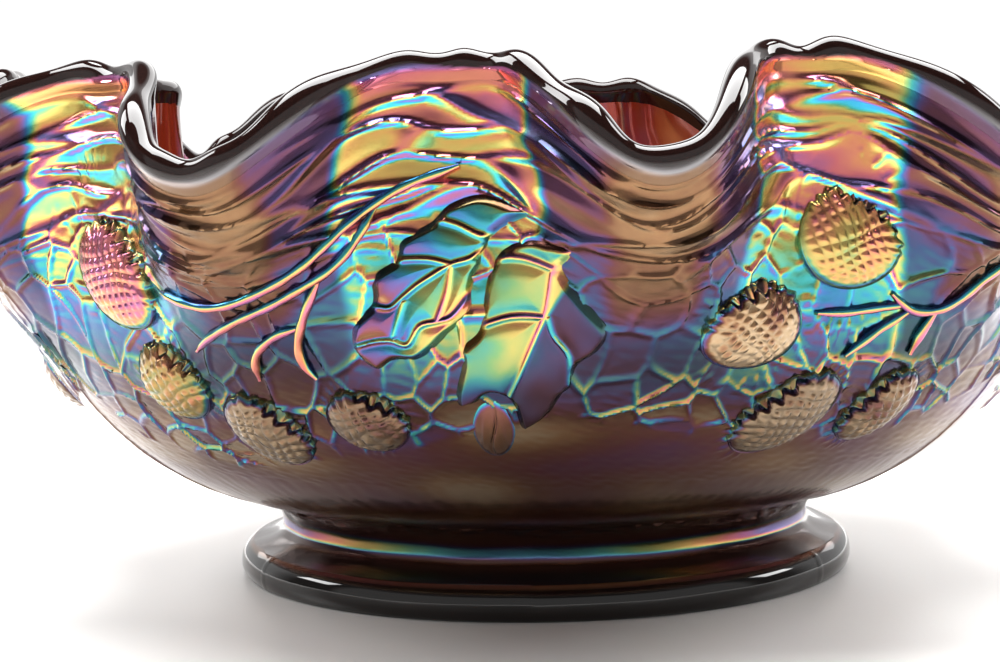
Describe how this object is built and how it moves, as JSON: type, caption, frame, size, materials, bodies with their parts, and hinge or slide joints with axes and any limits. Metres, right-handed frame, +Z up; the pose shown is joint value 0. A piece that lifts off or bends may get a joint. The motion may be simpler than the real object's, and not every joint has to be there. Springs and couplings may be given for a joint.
{
  "type": "ruffled carnival glass bowl",
  "caption": "Shallow footed bowl of dark iridised pressed glass with a deeply ruffled, scalloped rim and a raised vine of leaves, stems and thistle-like fruit heads on its outside wall.",
  "frame": {"origin": "centre of the foot's resting face, on the bowl's axis", "axes": "+Z up along the bowl's axis; -Y towards the middle of the front wall section; +X to its right"},
  "size_m": [0.238, 0.2212, 0.0969],
  "materials": {
    "foot_glass": "dark amethyst glass, nearly black, fire-polished gloss with no lustre",
    "lustre_cove": "dark amethyst glass under a smooth pink, blue and gold iridescent lustre",
    "lustre_wall": "dark amethyst glass under a metallic iridescent lustre, teal, purple, gold and pink",
    "rim_glass": "fire-polished dark amethyst glass, high gloss",
    "lustre_inside": "dark amethyst glass under a thin iridescent lustre",
    "lustre_leaf": "raised pressed glass under a teal, gold and pink iridescent lustre",
    "lustre_fruit": "raised pressed glass under a gold and pink iridescent lustre"
  },
  "bodies": {
    "root": {"foot_ring": "foot_glass", "foot_cove": "lustre_cove", "bowl_floor": "lustre_inside", "rim_bead": "rim_glass", "wall_front": "lustre_wall", "leaf_upper_front": "lustre_leaf", "leaf_lower_front": "lustre_leaf", "bud_front": "lustre_leaf", "stems_leafward_front": "lustre_leaf", "stems_trailing_front": "lustre_leaf", "fruit_front_1": "lustre_fruit", "fruit_front_2": "lustre_fruit", "fruit_front_3": "lustre_fruit", "fruit_front_4": "lustre_fruit", "fruit_front_5": "lustre_fruit", "fruit_front_6": "lustre_fruit", "fruit_front_7": "lustre_fruit", "fruit_front_8": "lustre_fruit", "wall_right": "lustre_wall", "leaf_upper_right": "lustre_leaf", "leaf_lower_right": "lustre_leaf", "bud_right": "lustre_leaf", "stems_leafward_right": "lustre_leaf", "stems_trailing_right": "lustre_leaf", "fruit_right_1": "lustre_fruit", "fruit_right_2": "lustre_fruit", "fruit_right_3": "lustre_fruit", "fruit_right_4": "lustre_fruit", "fruit_right_5": "lustre_fruit", "fruit_right_6": "lustre_fruit", "fruit_right_7": "lustre_fruit", "fruit_right_8": "lustre_fruit", "wall_left": "lustre_wall", "leaf_upper_left": "lustre_leaf", "leaf_lower_left": "lustre_leaf", "bud_left": "lustre_leaf", "stems_leafward_left": "lustre_leaf", "stems_trailing_left": "lustre_leaf", "fruit_left_1": "lustre_fruit", "fruit_left_2": "lustre_fruit", "fruit_left_3": "lustre_fruit", "fruit_left_4": "lustre_fruit", "fruit_left_5": "lustre_fruit", "fruit_left_6": "lustre_fruit", "fruit_left_7": "lustre_fruit", "fruit_left_8": "lustre_fruit"}
  },
  "joints": []
}
